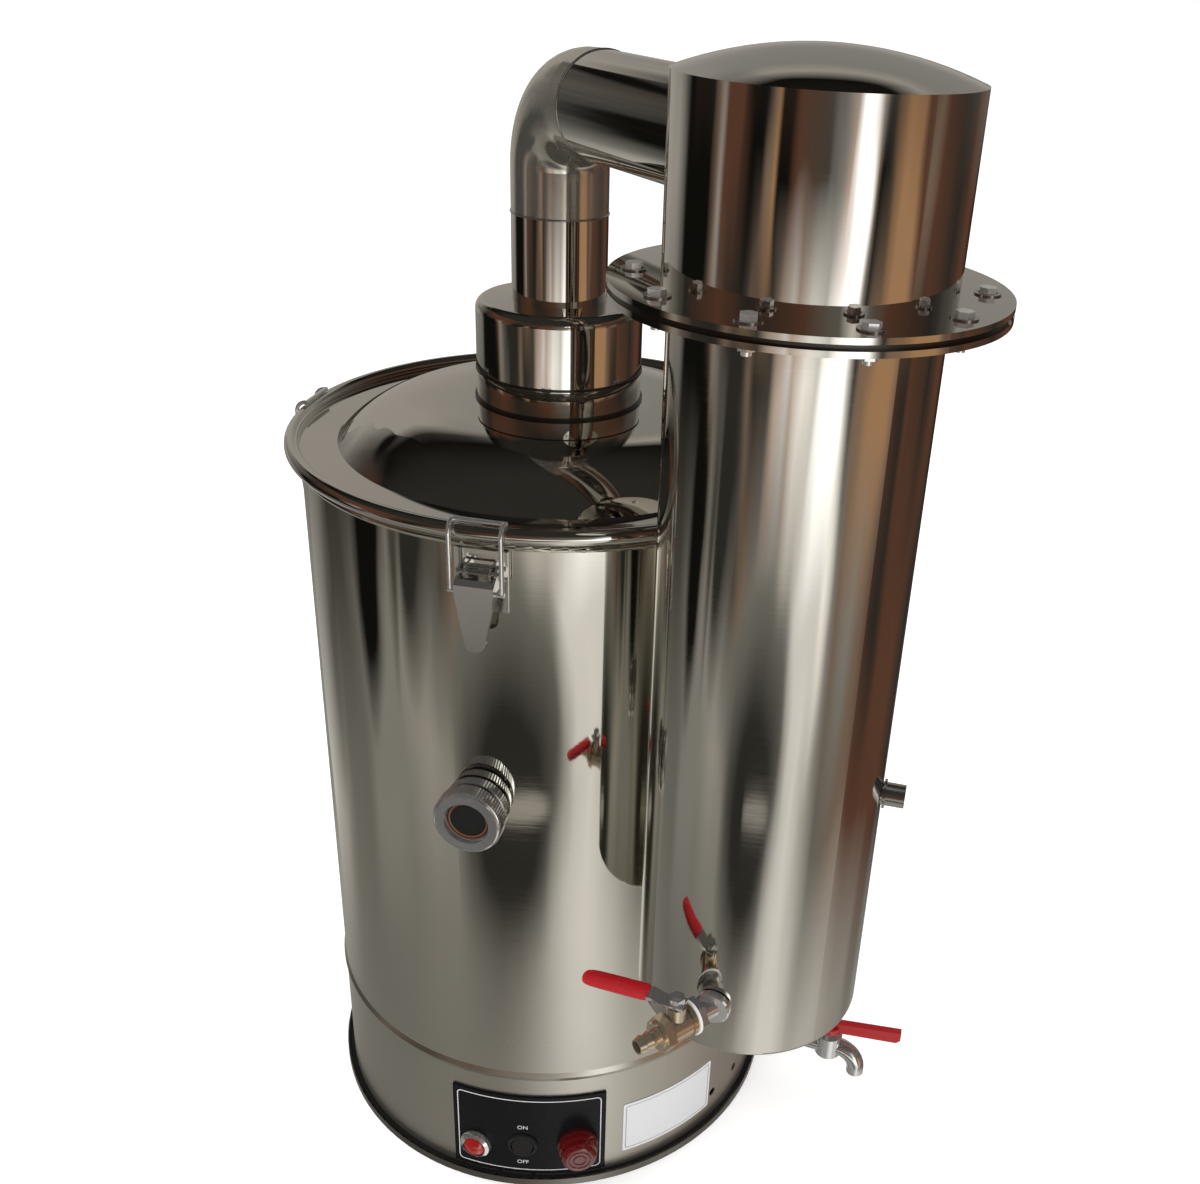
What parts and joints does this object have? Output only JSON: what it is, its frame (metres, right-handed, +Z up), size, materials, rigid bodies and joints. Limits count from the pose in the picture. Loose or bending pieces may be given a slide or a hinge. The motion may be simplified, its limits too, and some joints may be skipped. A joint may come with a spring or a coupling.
{
  "type": "countertop water distiller",
  "caption": "Upright stainless electric water distiller: boiler drum with latched lid, steam pipe over the top and a condenser tower beside it.",
  "frame": {"origin": "on the boiler axis at the floor under the base pan", "axes": "+Z up, +X from the boiler axis to the condenser axis"},
  "size_m": [0.5485, 0.3755, 0.8235],
  "materials": {
    "boiler_steel": "satin bright rolled stainless sheet",
    "mirror_steel": "mirror polished stainless steel",
    "tower_steel": "polished at the top, satin lower down",
    "plain_steel": "plain mill finish stainless steel",
    "heater_steel": "dull heater sheath",
    "chrome_trim": "bright chrome plate",
    "nickel_brass": "nickel plated brass with a warm tone",
    "black_panel": "satin black enamel",
    "black_plastic": "fine textured black plastic",
    "rocker_black": "gloss black plastic",
    "red_lens": "clear red plastic",
    "red_sleeve": "dipped red vinyl",
    "white_seal": "white sealing plastic",
    "silicone": "translucent silicone rubber",
    "orange_seal": "orange silicone ring",
    "black_rubber": "black rubber",
    "clear_glass": "clear pane"
  },
  "bodies": {
    "boiler": {"base_pan": "boiler_steel", "boiler_wall": "boiler_steel", "boiler_floor": "plain_steel", "heating_elements": "heater_steel", "heater_nuts": "nickel_brass", "level_probe": "plain_steel", "contactor": "black_plastic", "latch_plates": "chrome_trim", "latch_pins": "plain_steel", "sight_glass_body": "plain_steel", "sight_glass_oring": "black_rubber", "sight_glass_seal": "orange_seal", "sight_glass_pane": "clear_glass", "sight_glass_nut": "chrome_trim", "level_cup": "mirror_steel", "cup_drain": "plain_steel", "drain_pipe": "plain_steel", "drain_tap_body": "chrome_trim", "control_panel": "black_panel", "power_lamp_bezel": "chrome_trim", "power_lamp_lens": "red_lens", "switch_bezel": "black_plastic", "alarm_body": "black_plastic", "alarm_lens": "red_lens"},
    "head": {"lid": "mirror_steel", "lid_gasket": "silicone", "neck_ring": "mirror_steel", "neck_chamber": "mirror_steel", "steam_riser": "mirror_steel", "steam_elbow": "mirror_steel", "steam_crossover": "mirror_steel", "condenser_cap": "mirror_steel", "flange_gasket": "silicone", "condenser_shell": "tower_steel", "condenser_floor": "tower_steel", "distillate_spout": "plain_steel", "tube_plates": "plain_steel", "condenser_tubes": "plain_steel", "flange_bolts": "plain_steel", "flange_nuts": "plain_steel", "cooling_outlet": "plain_steel", "return_pipe": "mirror_steel", "inlet_union": "nickel_brass", "inlet_washer": "white_seal", "inlet_valve_body": "nickel_brass", "inlet_barb": "nickel_brass"},
    "inlet_handle": {"inlet_ball": "chrome_trim", "inlet_lever": "plain_steel", "inlet_grip": "red_sleeve", "inlet_lever_nut": "chrome_trim"},
    "drain_handle": {"drain_tap_lever": "red_sleeve"},
    "rocker": {"switch_rocker": "rocker_black"},
    "lever_0": {"latch_lever_0": "chrome_trim"},
    "bail_0": {"latch_bail_0": "chrome_trim"},
    "lever_1": {"latch_lever_1": "chrome_trim"},
    "bail_1": {"latch_bail_1": "chrome_trim"},
    "lever_2": {"latch_lever_2": "chrome_trim"},
    "bail_2": {"latch_bail_2": "chrome_trim"},
    "lever_3": {"latch_lever_3": "chrome_trim"},
    "bail_3": {"latch_bail_3": "chrome_trim"}
  },
  "joints": [
    {"name": "head_lift", "type": "slide", "parent": "boiler", "child": "head", "axis": [0, 0, 1], "range_m": [0, 0.03]},
    {"name": "lever_0_turn", "type": "hinge", "parent": "boiler", "child": "lever_0", "pos_m": [0.13194, -0.1239, 0.524], "axis": [-0.6845, -0.729, 0], "range_deg": [0, 130]},
    {"name": "bail_0_turn", "type": "hinge", "parent": "lever_0", "child": "bail_0", "pos_m": [0.13632, -0.12801, 0.514], "axis": [-0.6845, -0.729, 0], "range_deg": [-190, 0]},
    {"name": "lever_1_turn", "type": "hinge", "parent": "boiler", "child": "lever_1", "pos_m": [0.1239, 0.13194, 0.524], "axis": [0.729, -0.6845, 0], "range_deg": [0, 130]},
    {"name": "bail_1_turn", "type": "hinge", "parent": "lever_1", "child": "bail_1", "pos_m": [0.12801, 0.13632, 0.514], "axis": [0.729, -0.6845, 0], "range_deg": [-190, 0]},
    {"name": "lever_2_turn", "type": "hinge", "parent": "boiler", "child": "lever_2", "pos_m": [-0.13194, 0.1239, 0.524], "axis": [0.6845, 0.729, 0], "range_deg": [0, 130]},
    {"name": "bail_2_turn", "type": "hinge", "parent": "lever_2", "child": "bail_2", "pos_m": [-0.13632, 0.12801, 0.514], "axis": [0.6845, 0.729, 0], "range_deg": [-190, 0]},
    {"name": "lever_3_turn", "type": "hinge", "parent": "boiler", "child": "lever_3", "pos_m": [-0.1239, -0.13194, 0.524], "axis": [-0.729, 0.6845, 0], "range_deg": [0, 130]},
    {"name": "bail_3_turn", "type": "hinge", "parent": "lever_3", "child": "bail_3", "pos_m": [-0.12801, -0.13632, 0.514], "axis": [-0.729, 0.6845, 0], "range_deg": [-190, 0]},
    {"name": "inlet_handle_turn", "type": "hinge", "parent": "head", "child": "inlet_handle", "pos_m": [0.30692, -0.08611, 0.29598], "axis": [0, 0, 1], "range_deg": [-33.9, 56.1]},
    {"name": "drain_handle_turn", "type": "hinge", "parent": "boiler", "child": "drain_handle", "pos_m": [0.19567, 0.14744, 0.06], "axis": [0, 0, 1], "range_deg": [0, 90]},
    {"name": "rocker_turn", "type": "hinge", "parent": "boiler", "child": "rocker", "pos_m": [0.14188, -0.10499, 0.0398], "axis": [0.5948, 0.8039, 0], "range_deg": [0, 14]}
  ],
  "couplings": [
    {"joint": "lever_0_turn", "follows": "head_lift", "rad_per_m": 75.631},
    {"joint": "bail_0_turn", "follows": "head_lift", "rad_per_m": -110.54},
    {"joint": "lever_1_turn", "follows": "head_lift", "rad_per_m": 75.631},
    {"joint": "bail_1_turn", "follows": "head_lift", "rad_per_m": -110.54},
    {"joint": "lever_2_turn", "follows": "head_lift", "rad_per_m": 75.631},
    {"joint": "bail_2_turn", "follows": "head_lift", "rad_per_m": -110.54},
    {"joint": "lever_3_turn", "follows": "head_lift", "rad_per_m": 75.631},
    {"joint": "bail_3_turn", "follows": "head_lift", "rad_per_m": -110.54}
  ]
}
